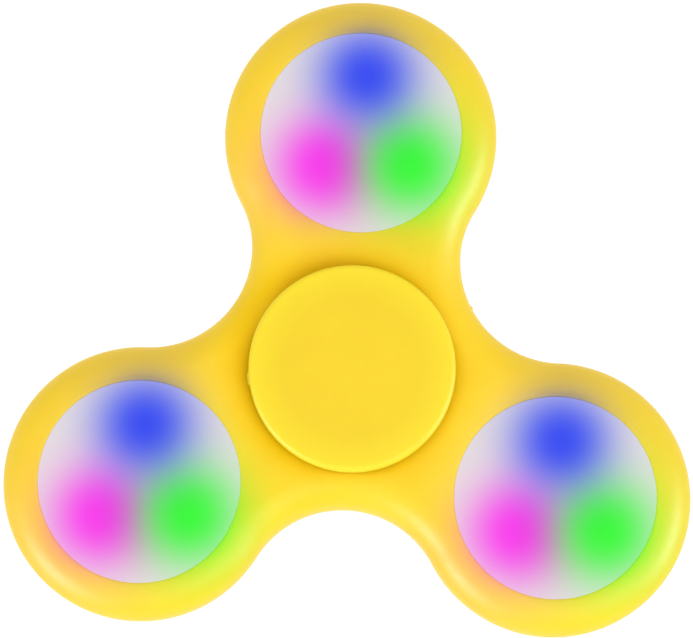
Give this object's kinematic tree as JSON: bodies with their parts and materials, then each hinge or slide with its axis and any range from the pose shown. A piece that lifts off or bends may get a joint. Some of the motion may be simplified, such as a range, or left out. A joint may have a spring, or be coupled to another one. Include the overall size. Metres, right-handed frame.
{
  "type": "fidget spinner",
  "caption": "Tri-lobe fidget spinner on a ball bearing between two finger caps, with a battery-powered colour-light pod and push button in each lobe.",
  "frame": {"origin": "centre of the rear finger cap's flat face, on the spin axis", "axes": "+Z along the spin axis towards the front cap and the lenses, +Y towards lobe 1"},
  "size_m": [0.075, 0.0688, 0.015],
  "materials": {
    "body_plastic": "satin moulded ABS",
    "cap_plastic": "satin moulded ABS",
    "race_steel": "ground",
    "cage_nylon": "moulded",
    "shield_steel": "pressed sheet",
    "ball_steel": "polished",
    "lens_frosted": "frosted, translucent",
    "pod_white": "moulded",
    "board_green": "solder mask",
    "led_blue": "lit",
    "led_magenta": "lit",
    "led_green": "lit",
    "dome_steel": "pressed sheet",
    "button_white": "moulded",
    "cell_steel": "nickel plated",
    "contact_brass": "plated sheet",
    "cover_white": "moulded",
    "screw_steel": "zinc plated"
  },
  "bodies": {
    "grip": {"front_cap": "cap_plastic", "rear_cap": "cap_plastic", "bearing_inner_ring": "race_steel"},
    "rotor": {"spinner_body": "body_plastic", "bearing_outer_ring": "race_steel", "bearing_front_shield": "shield_steel", "bearing_rear_shield": "shield_steel", "lens_1": "lens_frosted", "lens_2": "lens_frosted", "lens_3": "lens_frosted", "pod_cup_1": "pod_white", "pod_cup_2": "pod_white", "pod_cup_3": "pod_white", "circuit_board_1": "board_green", "circuit_board_2": "board_green", "circuit_board_3": "board_green", "led_blue_1": "led_blue", "led_blue_2": "led_blue", "led_blue_3": "led_blue", "led_magenta_1": "led_magenta", "led_magenta_2": "led_magenta", "led_magenta_3": "led_magenta", "led_green_1": "led_green", "led_green_2": "led_green", "led_green_3": "led_green", "switch_dome_1": "dome_steel", "switch_dome_2": "dome_steel", "switch_dome_3": "dome_steel", "button_cell_1_1": "cell_steel", "button_cell_1_2": "cell_steel", "button_cell_1_3": "cell_steel", "button_cell_2_1": "cell_steel", "button_cell_2_2": "cell_steel", "button_cell_2_3": "cell_steel", "button_cell_3_1": "cell_steel", "button_cell_3_2": "cell_steel", "button_cell_3_3": "cell_steel", "board_contacts_1": "contact_brass", "board_contacts_2": "contact_brass", "board_contacts_3": "contact_brass", "cover_contacts_1": "contact_brass", "cover_contacts_2": "contact_brass", "cover_contacts_3": "contact_brass", "battery_cover_1": "cover_white", "battery_cover_2": "cover_white", "battery_cover_3": "cover_white", "cover_screws_1": "screw_steel", "cover_screws_2": "screw_steel", "cover_screws_3": "screw_steel"},
    "cage": {"bearing_cage": "cage_nylon"},
    "ball_1": {"bearing_ball_1": "ball_steel"},
    "ball_2": {"bearing_ball_2": "ball_steel"},
    "ball_3": {"bearing_ball_3": "ball_steel"},
    "ball_4": {"bearing_ball_4": "ball_steel"},
    "ball_5": {"bearing_ball_5": "ball_steel"},
    "ball_6": {"bearing_ball_6": "ball_steel"},
    "ball_7": {"bearing_ball_7": "ball_steel"},
    "button_1": {"push_button_1": "button_white"},
    "button_2": {"push_button_2": "button_white"},
    "button_3": {"push_button_3": "button_white"}
  },
  "joints": [
    {"name": "rotor_spin", "type": "hinge", "parent": "grip", "child": "rotor", "pos_m": [0, 0, 0.0075], "axis": [0, 0, 1], "continuous": true},
    {"name": "cage_orbit", "type": "hinge", "parent": "grip", "child": "cage", "pos_m": [0, 0, 0.0075], "axis": [0, 0, 1], "continuous": true},
    {"name": "ball_roll_1", "type": "hinge", "parent": "cage", "child": "ball_1", "pos_m": [0, 0.0075, 0.0075], "axis": [0, 0, 1], "continuous": true},
    {"name": "ball_roll_2", "type": "hinge", "parent": "cage", "child": "ball_2", "pos_m": [-0.00586, 0.00468, 0.0075], "axis": [0, 0, 1], "continuous": true},
    {"name": "ball_roll_3", "type": "hinge", "parent": "cage", "child": "ball_3", "pos_m": [-0.00731, -0.00167, 0.0075], "axis": [0, 0, 1], "continuous": true},
    {"name": "ball_roll_4", "type": "hinge", "parent": "cage", "child": "ball_4", "pos_m": [-0.00325, -0.00676, 0.0075], "axis": [0, 0, 1], "continuous": true},
    {"name": "ball_roll_5", "type": "hinge", "parent": "cage", "child": "ball_5", "pos_m": [0.00325, -0.00676, 0.0075], "axis": [0, 0, 1], "continuous": true},
    {"name": "ball_roll_6", "type": "hinge", "parent": "cage", "child": "ball_6", "pos_m": [0.00731, -0.00167, 0.0075], "axis": [0, 0, 1], "continuous": true},
    {"name": "ball_roll_7", "type": "hinge", "parent": "cage", "child": "ball_7", "pos_m": [0.00586, 0.00468, 0.0075], "axis": [0, 0, 1], "continuous": true},
    {"name": "button_press_1", "type": "slide", "parent": "rotor", "child": "button_1", "axis": [0, 0, 1], "range_m": [0, 0.0003], "stiffness_N_per_m": 6000, "deforming": ["switch_dome_1"]},
    {"name": "button_press_2", "type": "slide", "parent": "rotor", "child": "button_2", "axis": [0, 0, 1], "range_m": [0, 0.0003], "stiffness_N_per_m": 6000, "deforming": ["switch_dome_2"]},
    {"name": "button_press_3", "type": "slide", "parent": "rotor", "child": "button_3", "axis": [0, 0, 1], "range_m": [0, 0.0003], "stiffness_N_per_m": 6000, "deforming": ["switch_dome_3"]}
  ],
  "couplings": [
    {"joint": "cage_orbit", "follows": "rotor_spin", "ratio": 0.6323},
    {"joint": "ball_roll_1", "follows": "rotor_spin", "ratio": 1.7573},
    {"joint": "ball_roll_2", "follows": "rotor_spin", "ratio": 1.7573},
    {"joint": "ball_roll_3", "follows": "rotor_spin", "ratio": 1.7573},
    {"joint": "ball_roll_4", "follows": "rotor_spin", "ratio": 1.7573},
    {"joint": "ball_roll_5", "follows": "rotor_spin", "ratio": 1.7573},
    {"joint": "ball_roll_6", "follows": "rotor_spin", "ratio": 1.7573},
    {"joint": "ball_roll_7", "follows": "rotor_spin", "ratio": 1.7573}
  ]
}
